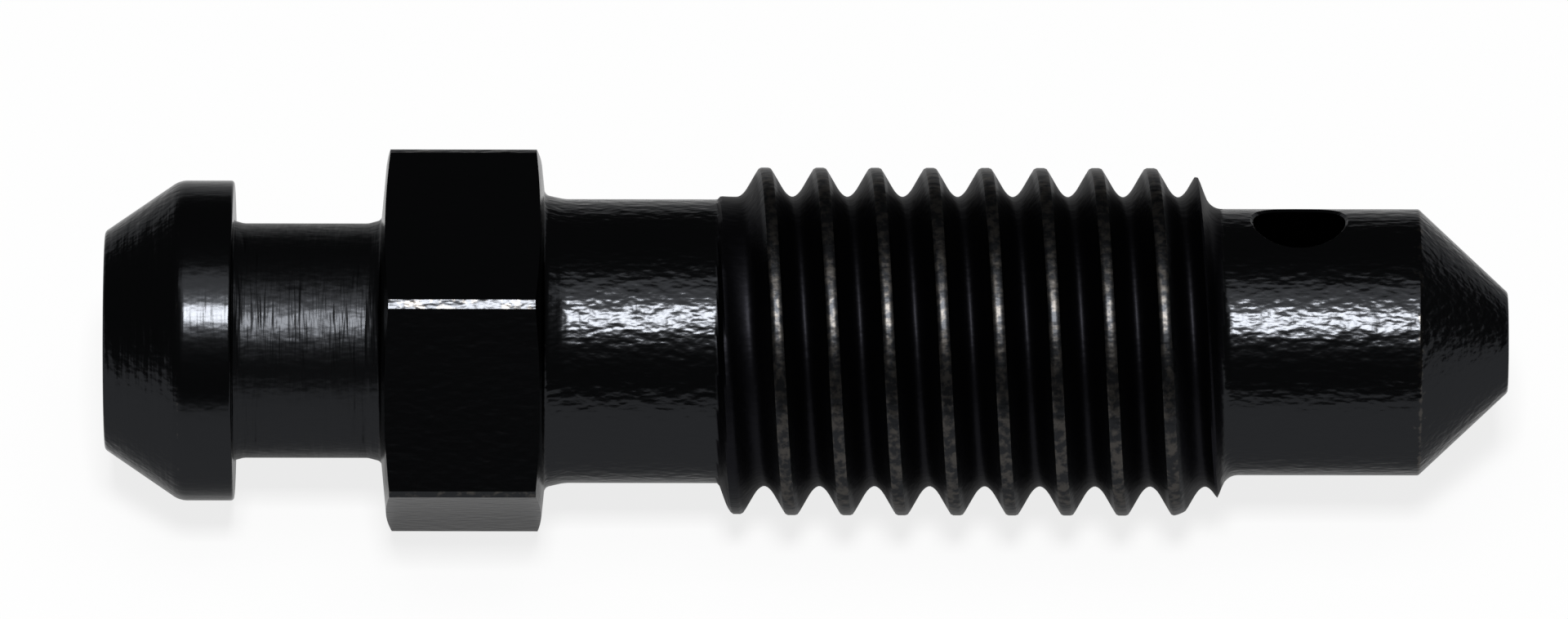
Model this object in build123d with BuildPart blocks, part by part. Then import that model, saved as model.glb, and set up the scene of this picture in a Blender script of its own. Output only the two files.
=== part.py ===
from build123d import *
import os
from math import ceil, cos, radians, sin, tan

os.makedirs("parts", exist_ok=True)

# A brake bleeder screw, turned in one piece and lying on a flat of its hexagon.
# Millimetres. Its axis runs along X, from the hose nipple at -X to the seat cone at +X.

# Hose nipple
nipple_end_radius = 2.54
nipple_end_chamfer = 0.10
barb_radius = 3.63
barb_round = 0.15
barb_taper_length = 1.70
barb_land_length = 1.23
neck_radius = 2.66
neck_length = 3.34

# Hexagon, with faintly coned end faces and chamfered corners
hexagon_across_flats = 8.0
hexagon_length = 3.70
hexagon_face_angle = 5.0
hexagon_chamfer_angle = 10.0

# Thread, M8 coarse, right-hand
thread_crest_radius = 3.95
thread_depth = 0.67
thread_root_flat = 0.34
thread_pitch = 1.25
thread_angle = 60.0
thread_shoulder_length = 0.26
thread_length = 10.29
thread_chamfer_length = 0.85
thread_start_turn = 0.26

# Plain shank, turned just under the thread's root. Its fillet is a share of the step up to the flats
shank_under_root = 0.06
shank_length = 3.95
shank_fillet_share = 0.28

# Spigot, also turned under the root, and seat cone
spigot_under_root = 0.26
spigot_length = 4.47
spigot_fillet = 0.20
seat_half_angle = 43.0
seat_end_radius = 1.13
seat_end_round = 0.08

# Drillings: a blind bore from the nipple, met by a cross hole through one side of the spigot
bore_radius = 1.10
bore_mouth_chamfer = 0.20
bore_past_cross_hole = 0.30
drill_point_angle = 118.0
cross_hole_radius = 1.05
cross_hole_from_thread = 1.74
cross_hole_turn = 64.0

# Radii that follow from the thread and the hexagon
thread_root_radius = thread_crest_radius - thread_depth
shank_radius = thread_root_radius - shank_under_root
spigot_radius = thread_root_radius - spigot_under_root
flat_radius = hexagon_across_flats / 2
corner_radius = flat_radius / cos(radians(30))
shank_fillet = (flat_radius - shank_radius) * shank_fillet_share

# Places along the screw, which is centred on the origin
seat_length = (spigot_radius - seat_end_radius) / tan(radians(seat_half_angle))
thread_end_length = thread_shoulder_length + thread_length + thread_chamfer_length
nipple_length = barb_taper_length + barb_land_length + neck_length
overall_length = (
    nipple_length + hexagon_length + shank_length + thread_end_length + spigot_length + seat_length
)
nipple_x = -overall_length / 2
land_x = nipple_x + barb_taper_length
neck_x = land_x + barb_land_length
hexagon_x = neck_x + neck_length
shank_x = hexagon_x + hexagon_length
shoulder_x = shank_x + shank_length
thread_x = shoulder_x + thread_shoulder_length
chamfer_x = thread_x + thread_length
spigot_x = chamfer_x + thread_chamfer_length
seat_x = spigot_x + spigot_length
tip_x = seat_x + seat_length

# The axis stands half the hexagon above the ground, and turned outlines lie level with it
axis_height = flat_radius
screw_axis = Axis((0, 0, axis_height), (1, 0, 0))
lathe_plane = Plane(origin=(0, 0, axis_height))

with BuildPart() as bleeder_screw:
    # The hexagon is turned as a disc over its corners, then its six flats are cut
    corner_drop = (corner_radius - flat_radius) * tan(radians(hexagon_chamfer_angle))
    neck_side_x = hexagon_x + (flat_radius - neck_radius) * tan(radians(hexagon_face_angle))
    shank_side_x = shank_x - (flat_radius - shank_radius) * tan(radians(hexagon_face_angle))

    # Each corner of the turned outline: place along the axis, radius, and how far it is rounded
    turned_corners = [
        (nipple_x, 0, 0),
        (nipple_x, nipple_end_radius - nipple_end_chamfer, 0),
        (nipple_x + nipple_end_chamfer, nipple_end_radius, 0),
        (land_x, barb_radius, barb_round),
        (neck_x, barb_radius, 0),
        (neck_x, neck_radius, 0),
        (hexagon_x, neck_radius, 0),
        (neck_side_x, flat_radius, 0),
        (neck_side_x + corner_drop, corner_radius, 0),
        (shank_side_x - corner_drop, corner_radius, 0),
        (shank_side_x, flat_radius, 0),
        (shank_x, shank_radius, shank_fillet),
        (shoulder_x, shank_radius, 0),
        (thread_x, thread_crest_radius, 0),
        (chamfer_x, thread_crest_radius, 0),
        (spigot_x, spigot_radius, spigot_fillet),
        (seat_x, spigot_radius, 0),
        (tip_x, seat_end_radius, seat_end_round),
        (tip_x, 0, 0),
    ]
    with BuildSketch(lathe_plane):
        with BuildLine():
            FilletPolyline(
                [(x, radius) for x, radius, rounding in turned_corners],
                radius=[rounding for x, radius, rounding in turned_corners],
                close=True,
            )
        make_face()
    revolve(axis=screw_axis)

    # The thread groove comes in over the shank and runs out over the spigot, cut a turn at a time
    groove_start_x = thread_x - (2 - thread_start_turn) * thread_pitch
    groove_turns = ceil((spigot_x - groove_start_x) / thread_pitch) + 1
    groove_height = thread_crest_radius - thread_root_radius + thread_pitch / 20
    groove_side = groove_height * tan(radians(thread_angle / 2))
    for turn in range(groove_turns):
        turn_start = Vector(groove_start_x + turn * thread_pitch, 0, axis_height)
        with BuildLine() as groove_path:
            Helix(thread_pitch, thread_pitch, thread_root_radius, center=turn_start, direction=(1, 0, 0))
        root = groove_path.line @ 0
        outward = root - turn_start
        with BuildSketch(Plane(origin=root, x_dir=outward, z_dir=Vector(1, 0, 0).cross(outward))):
            with BuildLine():
                Polyline(
                    (0, -thread_root_flat / 2),
                    (groove_height, -thread_root_flat / 2 - groove_side),
                    (groove_height, thread_root_flat / 2 + groove_side),
                    (0, thread_root_flat / 2),
                    close=True,
                )
            make_face()
        sweep(path=groove_path.line, is_frenet=True, mode=Mode.SUBTRACT)

    # The six flats
    with BuildSketch(Plane(origin=(hexagon_x, 0, axis_height), x_dir=(0, 1, 0), z_dir=(1, 0, 0))):
        Circle(2 * corner_radius)
        RegularPolygon(flat_radius, 6, major_radius=False, mode=Mode.SUBTRACT)
    extrude(amount=hexagon_length, mode=Mode.SUBTRACT)

    # Blind bore, with a chamfered mouth and the cone that the drill leaves
    cross_hole_x = spigot_x + cross_hole_from_thread
    bore_end_x = cross_hole_x + cross_hole_radius + bore_past_cross_hole
    with BuildSketch(lathe_plane):
        with BuildLine():
            Polyline(
                (nipple_x, 0),
                (nipple_x, bore_radius + bore_mouth_chamfer),
                (nipple_x + bore_mouth_chamfer, bore_radius),
                (bore_end_x, bore_radius),
                (bore_end_x + bore_radius / tan(radians(drill_point_angle / 2)), 0),
                close=True,
            )
        make_face()
    revolve(axis=screw_axis, mode=Mode.SUBTRACT)

    # Cross hole, from the bore out through the spigot's side
    cross_hole_way = (0, cos(radians(cross_hole_turn)), sin(radians(cross_hole_turn)))
    with BuildSketch(Plane(origin=(cross_hole_x, 0, axis_height), x_dir=(1, 0, 0), z_dir=cross_hole_way)):
        Circle(cross_hole_radius)
    extrude(amount=2 * spigot_radius, mode=Mode.SUBTRACT)

bleeder_screw.part.label = "bleeder_screw"
export_step(bleeder_screw.part, "parts/bleeder_screw.step")
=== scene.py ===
import bmesh
import bpy
import numpy as np
from math import asin, atan2, ceil, cos, degrees, hypot, pi, radians, sin, tan
from mathutils import Matrix, Vector


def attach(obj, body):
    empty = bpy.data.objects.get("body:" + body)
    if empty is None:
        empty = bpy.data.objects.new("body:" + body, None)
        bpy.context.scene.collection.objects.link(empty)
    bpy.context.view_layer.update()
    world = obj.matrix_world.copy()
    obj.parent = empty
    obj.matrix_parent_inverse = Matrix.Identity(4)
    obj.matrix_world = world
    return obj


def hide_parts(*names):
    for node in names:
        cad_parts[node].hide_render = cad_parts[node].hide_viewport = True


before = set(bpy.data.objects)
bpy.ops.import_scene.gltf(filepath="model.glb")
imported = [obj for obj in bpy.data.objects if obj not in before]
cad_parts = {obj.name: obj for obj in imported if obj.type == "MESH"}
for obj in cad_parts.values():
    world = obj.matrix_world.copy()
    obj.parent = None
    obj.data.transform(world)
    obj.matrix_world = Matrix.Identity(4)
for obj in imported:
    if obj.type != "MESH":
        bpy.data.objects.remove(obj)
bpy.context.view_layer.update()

# The bleeder screw is one piece of free-cutting steel, turned from hexagon bar, drilled and blackened.
# It is made in millimetres round the X axis, in the order of the turning, and laid on a flat of its
# hexagon at the end. A corner of an outline is its place along the axis, its radius and its rounding.

# Hose nipple and neck, in the same steel. The nipple tapers so that a soft hose slips over it, and the
# step behind its land holds the hose. The neck was cut by a plunging tool, and flares at both walls.
nipple_x, land_x, neck_x, hexagon_x = -15.9084, -14.2084, -12.9784, -9.6384
bore_radius = 1.10
mouth_chamfer = 0.2
mouth_end_x = nipple_x + 0.5
nipple_end_radius = 2.47
barb_radius = 3.63
neck_radius = 2.66
nipple_corners = [
    (mouth_end_x, bore_radius, 0),
    (nipple_x + mouth_chamfer, bore_radius, 0.02),
    (nipple_x, bore_radius + mouth_chamfer, 0.04),
    (nipple_x, nipple_end_radius, 0.06),
    (land_x, barb_radius, 0.15),
    (neck_x, barb_radius, 0.07),
    (neck_x, neck_radius + 0.06, 0.03),
    (neck_x + 0.22, neck_radius, 0.05),
    (hexagon_x - 0.30, neck_radius, 0.05),
    (hexagon_x, neck_radius + 0.08, 0.08),
]

# Hexagon for an 8 mm spanner. Its flats are those of the drawn bar, and its end faces and the chamfers
# at their corners are turned. Handling has broken each corner into a narrow worn flat.
shank_x = -5.9384
shank_radius = 3.22
flat_radius = 4.0
corner_radius = flat_radius / cos(radians(30))
corner_break = 0.06
corner_drop = 0.11
face_angle = 5.0
neck_side_x = hexagon_x + (flat_radius - neck_radius) * tan(radians(face_angle))
shank_side_x = shank_x - (flat_radius - shank_radius) * tan(radians(face_angle))
hexagon_corners = [
    (neck_side_x, flat_radius, 0),
    (neck_side_x + corner_drop, corner_radius, 0),
    (shank_side_x - corner_drop, corner_radius, 0),
    (shank_side_x, flat_radius, 0),
]

# Plain shank, turned a little under the thread's root, with a fillet against the hexagon. Its outline
# ends short of the thread, whose own mesh takes over there.
shoulder_x = -1.9884
thread_near_x = shoulder_x - 0.5
shank_corners = [
    (shank_x, shank_radius + 0.10, 0.10),
    (shank_x + 0.45, shank_radius, 0.10),
    (thread_near_x, shank_radius, 0),
]
body = bmesh.new()
bar_columns = 192
cross_hole_turn = 64.0


def turned_outline(corners):
    """Points along a turned outline, from its corners: place, radius, and how far each is rounded."""
    wire = bmesh.new()
    points = [wire.verts.new((x, radius, 0)) for x, radius, rounding in corners]
    for a, b in zip(points, points[1:]):
        wire.edges.new((a, b))
    for point, (x, radius, rounding) in zip(points, corners):
        if rounding:
            bmesh.ops.bevel(
                wire, geom=[point], affect="VERTICES", offset=rounding, segments=4, profile=0.5, material=-1
            )
    # Each long run gets a point near either end, which keeps the shading of its roundings off it
    long_run, end_run = 0.2, 0.05
    for edge in list(wire.edges):
        if edge.calc_length() > long_run:
            first, last = edge.verts
            share = end_run / edge.calc_length()
            rest, added = bmesh.utils.edge_split(edge, first, share)
            far = [e for e in added.link_edges if last in e.verts][0]
            bmesh.utils.edge_split(far, last, share)
    ends = [v for v in wire.verts if len(v.link_edges) == 1]
    start = Vector((corners[0][0], corners[0][1], 0))
    point = min(ends, key=lambda v: (start - v.co).length)
    outline, before = [], None
    while point:
        outline.append(tuple(point.co.xy))
        following = [e.other_vert(point) for e in point.link_edges if e.other_vert(point) is not before]
        before, point = point, following[0] if following else None
    wire.free()
    return outline


def spin_outline(bm, outline, columns, climb=0.0):
    """Turns an outline round the X axis from the middle of the cross hole. Climb is its travel in a turn."""
    chain = [bm.verts.new((x, radius, 0)) for x, radius in outline]
    edges = [bm.edges.new(pair) for pair in zip(chain, chain[1:])]
    bmesh.ops.rotate(bm, verts=chain, matrix=Matrix.Rotation(radians(cross_hole_turn), 3, "X"))
    bmesh.ops.spin(
        bm,
        geom=chain + edges,
        cent=(0, 0, 0),
        axis=(1, 0, 0),
        dvec=(climb / columns, 0, 0),
        angle=2 * pi,
        steps=columns,
        use_merge=not climb,
    )


spin_outline(body, turned_outline(nipple_corners + hexagon_corners + shank_corners), bar_columns)

# The six flats and the six broken corners are cut from the hexagon's turned disc
flats, corners = (30, flat_radius), (0, corner_radius - corner_break)
rim_radius = flat_radius - 0.1
for k in range(6):
    for turn, reach in (flats, corners):
        way = Vector((0, cos(radians(60 * k + turn)), sin(radians(60 * k + turn))))
        rim = [v for v in body.verts if hexagon_x < v.co.x < shank_x and hypot(v.co.y, v.co.z) > rim_radius]
        rim_edges = list(dict.fromkeys(e for v in rim for e in v.link_edges))
        rim_faces = list(dict.fromkeys(f for v in rim for f in v.link_faces))
        rim_verts = list(dict.fromkeys(v for f in rim_faces for v in f.verts))
        cut = bmesh.ops.bisect_plane(
            body,
            geom=rim_verts + rim_edges + rim_faces,
            dist=1e-5,
            plane_co=way * reach,
            plane_no=way,
            clear_outer=True,
        )
        cut_edges = [e for e in cut["geom_cut"] if isinstance(e, bmesh.types.BMEdge)]
        bmesh.ops.contextual_create(body, geom=cut_edges)

# Spigot and seat cone. The spigot stands in the port's narrow end, and the cone, turned to 43 degrees a
# side, closes the port's seat. Round the cross hole the spigot is a grid of rows and columns.
spigot_x, seat_x, tip_x = 9.4116, 13.8816, 15.9084
spigot_radius = 3.02
seat_end_radius = 1.13
cross_hole_radius = 1.05
cross_hole_x = spigot_x + 1.74
hole_ring = 10
spigot_rings, spigot_block = 13, 1.35
spigot_rows = [
    (cross_hole_x + spigot_block * row / spigot_rings, spigot_radius)
    for row in range(-spigot_rings, spigot_rings + 1)
]
seat_outline = turned_outline([
    (cross_hole_x + spigot_block, spigot_radius, 0),
    (seat_x, spigot_radius, 0.03),
    (tip_x, seat_end_radius, 0.05),
    (tip_x, 0.0, 0),
])
spin_outline(body, spigot_rows + seat_outline[1:], bar_columns)

# Blind bore, drilled from the nipple to just past the cross hole. It ends in the drill's cone, and has
# the same kind of grid round the cross hole.
bore_columns = 48
bore_rings = 12
bore_steps = 20
bore_start_x = nipple_x + 0.6
bore_end_x = cross_hole_x + 1.35
drill_point_angle = 118.0
bore_rows = [
    (cross_hole_x + cross_hole_radius * row / hole_ring, bore_radius)
    for row in range(-bore_rings, bore_rings + 1)
]
bore_run = bore_rows[0][0] - bore_start_x
drill_point_x = bore_end_x + bore_radius / tan(radians(drill_point_angle / 2))
bore_outline = [(bore_start_x + k * bore_run / bore_steps, bore_radius) for k in range(bore_steps)]
bore_outline += bore_rows + [(bore_end_x, bore_radius), (drill_point_x, 0.0)]
spin_outline(body, bore_outline, bore_columns)

# Cross hole, drilled through one wall of the spigot into the bore, with its outer edge broken. In each
# wall's grid the square rings of points round it are drawn into circles, and those inside it go.
cross_hole_break = 0.06


def turn_of(vert):
    """Degrees round the axis from the middle of the cross hole, from -180 to 180."""
    turn = degrees(atan2(vert.co.z, vert.co.y)) - cross_hole_turn
    return (turn + 180) % 360 - 180


def set_place(vert, x, radius, turn):
    """Puts a point at a place along the axis, at a radius, turned from the middle of the cross hole."""
    angle = radians(turn + cross_hole_turn)
    vert.co = (x, radius * cos(angle), radius * sin(angle))


def open_hole(radius, columns, row_length, rings, edge_break=0.0):
    """Opens the cross hole in the grid of one wall, which lies at this radius from the axis."""
    inside = []
    first_free = hole_ring + 1 if edge_break else hole_ring
    for vert in body.verts:
        if abs(hypot(vert.co.y, vert.co.z) - radius) > 1e-3:
            continue
        turn, along = turn_of(vert), vert.co.x - cross_hole_x
        column, row = round(turn * columns / 360), round(along / row_length)
        ring = max(abs(column), abs(row))
        if ring > rings or abs(along - row * row_length) > 1e-3:
            continue
        if ring < hole_ring:
            inside.append(vert)
            continue
        if abs(column) >= abs(row):
            way = pi / 4 * row / column + (pi if column < 0 else 0)
        else:
            way = pi / 2 - pi / 4 * column / row + (pi if row < 0 else 0)
        round_radius = cross_hole_radius + (edge_break if ring > hole_ring else 0.0)
        round_turn = degrees(asin(round_radius * cos(way) / radius))
        round_along = round_radius * sin(way)
        square_turn = column / ring * rings * 360 / columns
        square_along = row / ring * rings * row_length
        share = max(ring - first_free, 0) / (rings - first_free)
        turn = round_turn + (square_turn - round_turn) * share
        along = round_along + (square_along - round_along) * share
        sunk = edge_break if ring == hole_ring else 0.0
        set_place(vert, cross_hole_x + along, radius - sunk, turn)
    bmesh.ops.delete(body, geom=inside, context="VERTS")


open_hole(spigot_radius, bar_columns, spigot_block / spigot_rings, spigot_rings, cross_hole_break)
open_hole(bore_radius, bore_columns, cross_hole_radius / hole_ring, bore_rings)

# M8 x 1.25 right-hand thread, cut by a die in the turned blank. The die's first ridge grows in from the
# shank, and the last one runs out on a blank whose end leans, so its edge lies further out below.
thread_x, chamfer_x = -1.7284, 8.5616
thread_far_x = cross_hole_x - spigot_block
thread_pitch, crest_radius, root_radius = 1.25, 3.95, 3.28
flank_angle = 30.0
crest_half_width = 0.12
crest_round, root_round, blank_round = 0.08, 0.24, 0.04
crest_over_blank = 0.008
crest_x = thread_x + 0.622 * thread_pitch
crest_turn = 40.5
ridge_start, ridge_full = -398.0, -170.0
end_lean = 0.19
rows_per_pitch = 24
blank = turned_outline([
    (thread_near_x - 1, shank_radius, 0),
    (shoulder_x, shank_radius, 0.04),
    (thread_x, crest_radius, 0.05),
    (chamfer_x - 0.20, crest_radius, 0.10),
    (thread_far_x + 1, 2.90, 0),
])
blank_end = turned_outline([
    (chamfer_x, crest_radius + 0.1, 0),
    (spigot_x - 0.46, crest_radius + 0.1, 0.05),
    (spigot_x - 0.10, 3.10, 0.16),
    (spigot_x + 0.13, spigot_radius, 0.06),
    (thread_far_x + 1, spigot_radius, 0),
])


def radius_on(outline, x):
    """Radius of a turned outline at a place along the axis."""
    places, radii = zip(*outline)
    return float(np.interp(x, places, radii))


def softer(a, b, blur):
    """The smaller of two sizes, eased over a blur where they cross."""
    near = max(blur - abs(a - b), 0) / blur
    return min(a, b) - near * near * blur / 4


def way_along(value, start, end):
    """How far a value has come from start to end, from 0 to 1."""
    return min(max((value - start) / (end - start), 0.0), 1.0)


def thread_radius(x, turn):
    """Radius of the threaded stretch at a place along the axis, a turn in degrees round it."""
    from_crest = (x - crest_x - thread_pitch * (turn - crest_turn) / 360) / thread_pitch
    away = abs(from_crest - round(from_crest)) * thread_pitch
    ridge_turn = 360 * round(from_crest) + turn - crest_turn
    grown = way_along(ridge_turn, ridge_start, ridge_full)
    flank = crest_radius + (crest_half_width - away) / tan(radians(flank_angle))
    buried = root_radius - root_round
    ridge = buried + (softer(flank, crest_radius + crest_over_blank, crest_round) - buried) * grown
    groove = -softer(-root_radius, -ridge, root_round)
    threaded = softer(groove, radius_on(blank, x), blank_round)
    end = radius_on(blank_end, x + end_lean * cos(radians(turn - crest_turn)))
    return softer(threaded, end, blank_round)


# One turn of rows is spun along the helix and repeated, and then each point takes the thread's radius
first_row = crest_x - thread_pitch * ceil((crest_x - thread_near_x) / thread_pitch + 1.2)
turns = ceil((thread_far_x - first_row) / thread_pitch) + 1
one_turn = [(first_row + k * thread_pitch / rows_per_pitch, crest_radius) for k in range(rows_per_pitch + 1)]
thread = bmesh.new()
spin_outline(thread, one_turn, bar_columns, climb=thread_pitch)
first_turn = thread.verts[:] + thread.edges[:] + thread.faces[:]
for k in range(1, turns):
    copy = bmesh.ops.duplicate(thread, geom=first_turn)["geom"]
    moved = [v for v in copy if isinstance(v, bmesh.types.BMVert)]
    bmesh.ops.translate(thread, verts=moved, vec=(k * thread_pitch, 0, 0))
weld = 0.0004
bmesh.ops.remove_doubles(thread, verts=thread.verts, dist=weld)
for vert in thread.verts:
    turn = turn_of(vert)
    x = min(max(vert.co.x, thread_near_x), thread_far_x)
    set_place(vert, x, thread_radius(x, turn + cross_hole_turn), turn)
thread_mesh = bpy.data.meshes.new("thread")
thread.to_mesh(thread_mesh)
thread.free()
body.from_mesh(thread_mesh)
bpy.data.meshes.remove(thread_mesh)
bmesh.ops.remove_doubles(body, verts=body.verts, dist=weld)
bmesh.ops.dissolve_degenerate(body, edges=body.edges, dist=weld / 4)

# The bore is joined to its mouth, and then to the spigot's side by the wall of the cross hole
mouth_rims = [e for e in body.edges if e.is_boundary and e.verts[0].co.x < nipple_x + 1]
bmesh.ops.bridge_loops(body, edges=mouth_rims)
hole_rims = [e for e in body.edges if e.is_boundary]
bmesh.ops.bridge_loops(body, edges=hole_rims)
bmesh.ops.recalc_face_normals(body, faces=body.faces)

# How each length was finished: up to a place along the screw, the strength of the steel's grain, of the
# rings that the cutting tool left, and how dull it is. From a dullness of a half up, the colour is also
# darkened with painted shade.
finishes = [
    (land_x, 0.6, 0.5, 0.0),
    (neck_x, 0.25, 0.2, 0.0),
    (hexagon_x, 0.5, 1.0, 0.45),
    (shank_x, 0.4, 0.0, 0.0),
    (tip_x + 1, 1.0, 0.08, 0.0),
]

# The black is worn through along turned edges: place, radius, and how far the wear reaches. It is worn
# through on the hexagon's broken corners and the thread's crests too. The thread's grooves are dull, and
# are painted darker there as shade.
# A face with more points than flat_points is one of the hexagon's flats.
worn_edges = [
    (land_x, barb_radius, 0.10),
    (neck_x, barb_radius, 0.08),
    (seat_x, spigot_radius, 0.20),
    (tip_x, seat_end_radius, 0.06),
]
edge_wear, crest_wear = 1.2, 1.1
thread_grain, crest_shine = 0.5, 0.5
flat_points = 20
wear_layer, grain_layer, turned_layer, dullness_and_shade_layer = [
    body.loops.layers.float.new(name) for name in ("wear", "grain", "turned", "dullness_and_shade")
]
for face in body.faces:
    middle = face.calc_center_median()
    face_finish = next(finish for end_x, *finish in finishes if middle.x < end_x)
    on_hexagon = hexagon_x < middle.x < shank_x and hypot(middle.y, middle.z) > flat_radius - 0.01
    at_corner = on_hexagon and len(face.verts) <= flat_points
    broken_corner = at_corner and abs(face.normal.x) < 0.01
    for loop in face.loops:
        x, radius = loop.vert.co.x, hypot(loop.vert.co.y, loop.vert.co.z)
        grain, turned, dullness_and_shade = face_finish
        wear = 1.0 if at_corner and radius > flat_radius + 0.01 else 0.0
        if broken_corner:
            grain, wear = 1.0, 1.0
        if thread_x - 0.3 < x < spigot_x:
            grain, turned = thread_grain, 0.0
            # In the grooves the dullness is full, which also paints them darker as shade; the crests are half
            # as dull.
            dullness_and_shade = 1.0 - crest_shine * way_along(radius, crest_radius - 0.20, crest_radius - 0.10)
            wear = crest_wear * way_along(radius, crest_radius - 0.10, crest_radius - 0.05)
        for edge_x, edge_radius, reach in worn_edges:
            wear = max(wear, edge_wear - hypot(x - edge_x, radius - edge_radius) / reach)
        loop[wear_layer] = wear
        loop[grain_layer] = grain
        loop[turned_layer] = turned
        loop[dullness_and_shade_layer] = dullness_and_shade

# The screw is brought from millimetres to metres and laid on the ground. It shades smoothly, except round
# its flats and at its sharp turned edges.
sharp_angle = radians(28)
bmesh.ops.scale(body, verts=body.verts, vec=(0.001, 0.001, 0.001))
bmesh.ops.translate(body, verts=body.verts, vec=(0, 0, flat_radius / 1000))
for face in body.faces:
    face.smooth = True
for edge in body.edges:
    round_flat = any(len(face.verts) > flat_points for face in edge.link_faces)
    if round_flat or edge.calc_face_angle(0.0) > sharp_angle:
        edge.smooth = False
screw_mesh = bpy.data.meshes.new("turned_screw")
body.to_mesh(screw_mesh)
body.free()
screw = bpy.data.objects.new("turned_screw", screw_mesh)
bpy.context.scene.collection.objects.link(screw)
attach(screw, "root")
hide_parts("bleeder_screw")

# Black oxide on turned steel, oiled. The eye gets a near-black gloss that only shows where it mirrors a
# lamp, a fine grain that breaks up that glint, dull grooves painted darker as shade, and grey steel where
# it is worn. The real grain, tool rings and worn specks are too fine to show, and are drawn as coarse as
# they need.
# The second colour is painted shade, a darker black laid in the thread's grooves.
black_gloss, groove_shade_colour, worn_steel = "#252628", "#17171a", "#3f3d3b"
gloss_roughness, groove_roughness = 0.2, 0.46
grain_mm, grain_depth_mm = 0.18, 0.024
ring_mm, ring_depth_mm = 0.20, 0.060
patch_mm = 0.20
wear_weight = 0.62
worn_from, worn_to = 1.12, 1.30


def linear(hex_colour):
    """An sRGB hex colour as linear values."""
    parts = [int(hex_colour[k:k + 2], 16) / 255 for k in (1, 3, 5)]
    return [c / 12.92 if c <= 0.04045 else ((c + 0.055) / 1.055) ** 2.4 for c in parts] + [1.0]


def add_node(tree, kind, settings=None, inputs=None, links=None):
    """Adds a node with its settings, the values of its inputs, and links into its inputs."""
    node = tree.nodes.new(kind)
    for name, value in (settings or {}).items():
        setattr(node, name, value)
    for name, value in (inputs or {}).items():
        node.inputs[name].default_value = value
    for name, socket in (links or {}).items():
        tree.links.new(socket, node.inputs[name])
    return node


black_oxide = bpy.data.materials.new("black_oxide_steel")
black_oxide.use_nodes = True
tree = black_oxide.node_tree
tree.nodes.clear()
place = add_node(tree, "ShaderNodeTexCoord").outputs["Object"]
wear, grain, turned, dullness_and_shade = [
    add_node(tree, "ShaderNodeAttribute", settings={"attribute_name": name}).outputs["Fac"]
    for name in ("wear", "grain", "turned", "dullness_and_shade")
]
grain_place = add_node(tree, "ShaderNodeMapping", inputs={"Scale": (0.5, 1.0, 1.0)}, links={"Vector": place})
grain_height = add_node(
    tree,
    "ShaderNodeTexNoise",
    inputs={"Scale": 1000 / grain_mm, "Detail": 1.5, "Roughness": 0.5},
    links={"Vector": grain_place.outputs["Vector"]},
)
grain_bump = add_node(
    tree,
    "ShaderNodeBump",
    inputs={"Distance": grain_depth_mm / 1000},
    links={"Strength": grain, "Height": grain_height.outputs["Fac"]},
)
ring_place = add_node(tree, "ShaderNodeMapping", inputs={"Scale": (1.0, 0.10, 0.10)}, links={"Vector": place})
ring_height = add_node(
    tree,
    "ShaderNodeTexNoise",
    inputs={"Scale": 1000 / ring_mm, "Detail": 2.0, "Roughness": 0.5},
    links={"Vector": ring_place.outputs["Vector"]},
)
ring_bump = add_node(
    tree,
    "ShaderNodeBump",
    inputs={"Distance": ring_depth_mm / 1000},
    links={"Strength": turned, "Height": ring_height.outputs["Fac"], "Normal": grain_bump.outputs["Normal"]},
)
patches = add_node(
    tree,
    "ShaderNodeTexNoise",
    inputs={"Scale": 1000 / patch_mm, "Detail": 2.0, "Roughness": 0.6},
    links={"Vector": place},
)
worn = add_node(
    tree,
    "ShaderNodeMath",
    settings={"operation": "MULTIPLY_ADD"},
    inputs={1: wear_weight},
    links={0: wear, 2: patches.outputs["Fac"]},
)
worn_through = add_node(
    tree,
    "ShaderNodeMapRange",
    inputs={"From Min": worn_from, "From Max": worn_to},
    links={"Value": worn.outputs["Value"]},
)
# Past a dullness of a half the black turns to the groove colour, a painted shade in the thread's grooves.
groove_shade = add_node(
    tree, "ShaderNodeMapRange", inputs={"From Min": 0.5, "From Max": 1.0}, links={"Value": dullness_and_shade}
)
black = add_node(
    tree,
    "ShaderNodeMix",
    settings={"data_type": "RGBA"},
    inputs={6: linear(black_gloss), 7: linear(groove_shade_colour)},
    links={"Factor": groove_shade.outputs["Result"]},
)
colour = add_node(
    tree,
    "ShaderNodeMix",
    settings={"data_type": "RGBA"},
    inputs={7: linear(worn_steel)},
    links={"Factor": worn_through.outputs["Result"], 6: black.outputs[2]},
)
polish = add_node(
    tree,
    "ShaderNodeMapRange",
    inputs={"To Min": gloss_roughness, "To Max": groove_roughness},
    links={"Value": dullness_and_shade},
)
surface = add_node(
    tree,
    "ShaderNodeBsdfPrincipled",
    inputs={"Metallic": 1.0, "Specular Tint": (0.55, 0.55, 0.55, 1.0)},
    links={
        "Base Color": colour.outputs[2],
        "Roughness": polish.outputs["Result"],
        "Normal": ring_bump.outputs["Normal"],
    },
)
add_node(tree, "ShaderNodeOutputMaterial", links={"Surface": surface.outputs["BSDF"]})
screw_mesh.materials.append(black_oxide)

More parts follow.
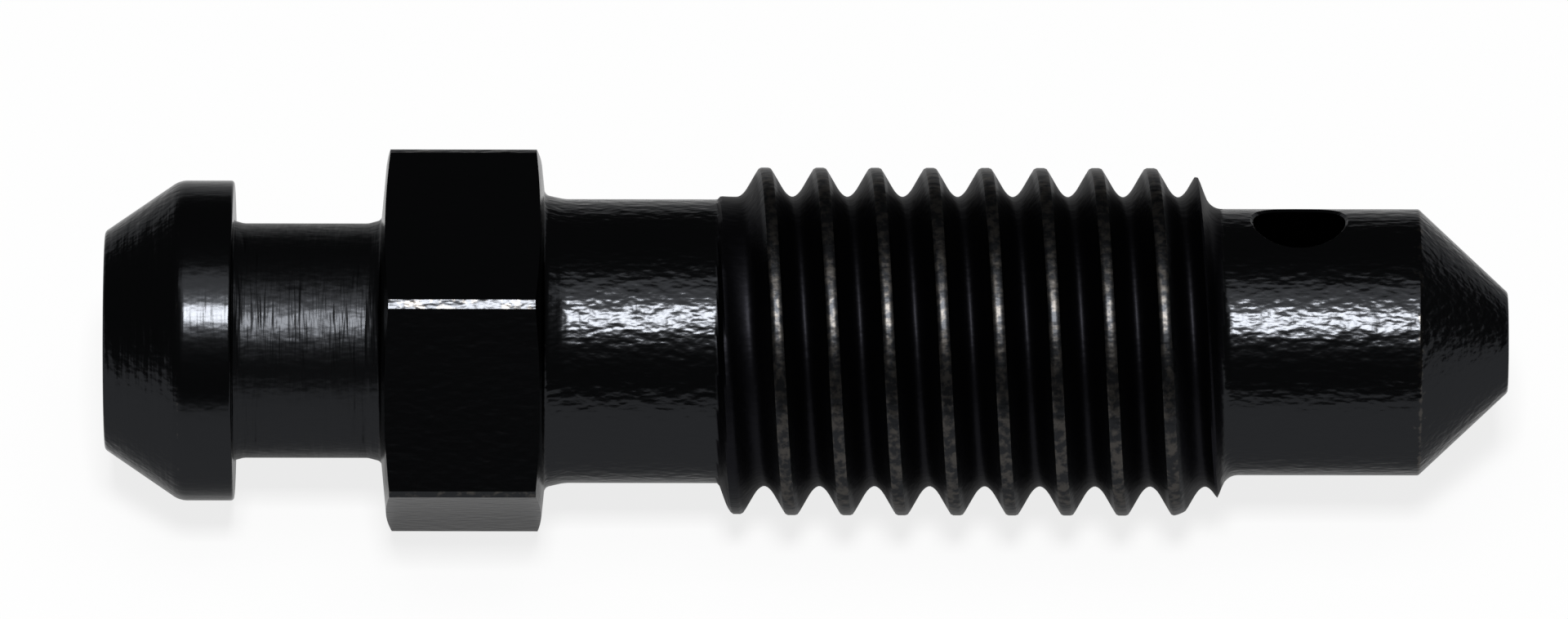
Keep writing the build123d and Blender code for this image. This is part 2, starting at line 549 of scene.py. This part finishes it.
# Floor: a sheet of matt white card, far wider than the picture and a hair below the screw. It is white
# by itself where the camera sees it, less so in the metal's reflection, and otherwise lit by the lamps.
seen_white, reflected_white = 0.82, 0.50
floor_drop = 0.00002
floor_bm = bmesh.new()
bmesh.ops.create_grid(floor_bm, x_segments=1, y_segments=1, size=3.0)
bmesh.ops.translate(floor_bm, verts=floor_bm.verts, vec=(0, 0, -floor_drop))
floor_mesh = bpy.data.meshes.new("floor")
floor_bm.to_mesh(floor_mesh)
floor_bm.free()
floor = bpy.data.objects.new("floor", floor_mesh)
bpy.context.scene.collection.objects.link(floor)
white_card = bpy.data.materials.new("matt_white_card")
white_card.use_nodes = True
card_tree = white_card.node_tree
card_tree.nodes.clear()
card = add_node(
    card_tree,
    "ShaderNodeBsdfPrincipled",
    inputs={"Base Color": linear("#f4f4f4"), "Roughness": 0.9, "Specular IOR Level": 0.0},
)
ray = add_node(card_tree, "ShaderNodeLightPath").outputs
reflected = add_node(
    card_tree,
    "ShaderNodeMath",
    settings={"operation": "MAXIMUM"},
    links={0: ray["Is Glossy Ray"], 1: ray["Is Transmission Ray"]},
)
reflected_share = add_node(
    card_tree,
    "ShaderNodeMath",
    settings={"operation": "MULTIPLY"},
    inputs={1: reflected_white},
    links={0: reflected.outputs["Value"]},
)
seen_share = add_node(
    card_tree,
    "ShaderNodeMath",
    settings={"operation": "MULTIPLY"},
    inputs={1: seen_white},
    links={0: ray["Is Camera Ray"]},
)
white_share = add_node(
    card_tree,
    "ShaderNodeMath",
    settings={"operation": "MAXIMUM"},
    links={0: seen_share.outputs["Value"], 1: reflected_share.outputs["Value"]},
)
glow = add_node(card_tree, "ShaderNodeEmission", inputs={"Color": linear("#ffffff"), "Strength": 1.0})
lit_card = add_node(
    card_tree,
    "ShaderNodeMixShader",
    links={"Fac": white_share.outputs["Value"], 1: card.outputs["BSDF"], 2: glow.outputs["Emission"]},
)
add_node(card_tree, "ShaderNodeOutputMaterial", links={"Surface": lit_card.outputs["Shader"]})
floor_mesh.materials.append(white_card)

# Camera: square to the screw's length, from in front and about half way up, far enough off to see it
# nearly without perspective. It is turned and shifted by the little that the photo's framing needs.
camera_turn = 130.5
camera_distance = 0.6
pixel = 0.001 / 53.97
pixels_left, pixels_up = 27.5, 39.0
middle = Vector((0, 0, flat_radius / 1000))
along = Vector((1, 0, 0))
back = Vector((0, cos(radians(camera_turn)), sin(radians(camera_turn))))
up = Vector((0, sin(radians(camera_turn)), -cos(radians(camera_turn))))
camera_data = bpy.data.cameras.new("camera")
camera_data.lens = 607.2
camera_data.sensor_width = 36
camera_data.clip_start = 0.01
camera_data.clip_end = 20
camera = bpy.data.objects.new("camera", camera_data)
bpy.context.scene.collection.objects.link(camera)
camera_place = middle + back * camera_distance - along * (pixels_left * pixel) + up * (pixels_up * pixel)
camera_axes = Matrix((along, up, back)).transposed().to_4x4()
camera_roll = Matrix.Rotation(radians(0.09), 4, "Z")
camera.matrix_world = Matrix.Translation(camera_place) @ camera_axes @ camera_roll
bpy.context.scene.camera = camera

# Lamps: a small square soft box high up and a little in front, which makes the glint along each round
# length, a wide dim panel straight overhead, and a room that gives a little light from all round.


def add_panel(name, turn, length, width, strength):
    """A flat soft lamp a metre from the screw, at a turn round its axis, which faces it."""
    lamp_data = bpy.data.lights.new(name, "AREA")
    lamp_data.shape = "RECTANGLE"
    lamp_data.size = length
    lamp_data.size_y = width
    lamp_data.energy = strength * pi * length * width
    lamp = bpy.data.objects.new(name, lamp_data)
    bpy.context.scene.collection.objects.link(lamp)
    away = Vector((0, cos(radians(turn)), sin(radians(turn))))
    lamp_axes = Matrix((along, away.cross(along), away)).transposed().to_4x4()
    lamp.matrix_world = Matrix.Translation(middle + away) @ lamp_axes


add_panel("main_lamp", 111.5, 0.19, 0.19, 80.0)
add_panel("overhead_panel", 90.0, 0.80, 0.35, 1.6)
world = bpy.data.worlds.new("dim_room")
bpy.context.scene.world = world
world.use_nodes = True
room = world.node_tree.nodes["Background"]
room.inputs["Color"].default_value = linear("#ffffff")
room.inputs["Strength"].default_value = 0.1

bpy.context.scene.view_settings.view_transform = "Standard"
